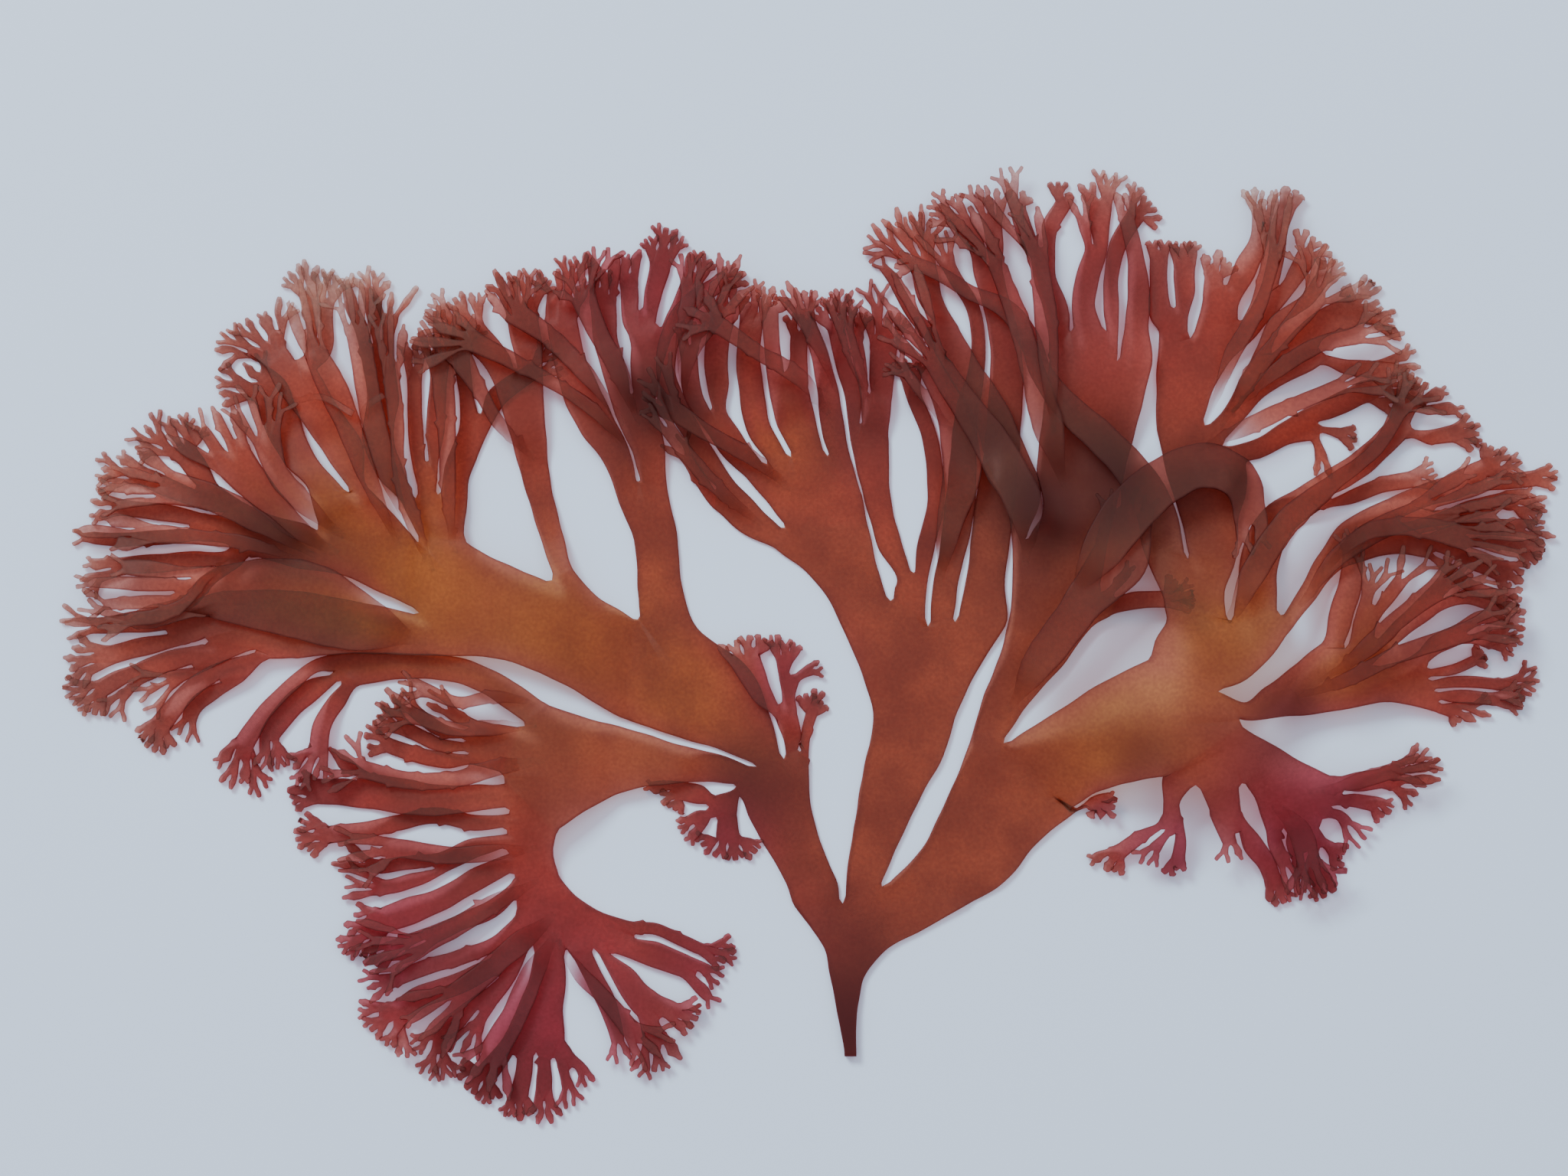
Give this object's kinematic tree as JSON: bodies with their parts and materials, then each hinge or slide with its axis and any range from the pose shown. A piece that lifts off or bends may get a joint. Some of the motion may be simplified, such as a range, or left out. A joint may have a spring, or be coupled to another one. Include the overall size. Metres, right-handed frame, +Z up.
{
  "type": "red seaweed thallus",
  "caption": "Red seaweed lying spread out flat: a small stipe widening into lobes of thin forked blade that end in fans of slender blunt fingers.",
  "frame": {"origin": "centre of the bounding box's bottom, on the surface that the plant lies on", "axes": "+Z up off the surface, +Y from the foot of the stipe towards the fans, +X to the plant's right as it lies"},
  "size_m": [0.1764, 0.1126, 0.0085],
  "materials": {
    "thallus_tissue": "wet, glossy, half see-through"
  },
  "bodies": {
    "root": {"thallus": "thallus_tissue"}
  },
  "joints": []
}
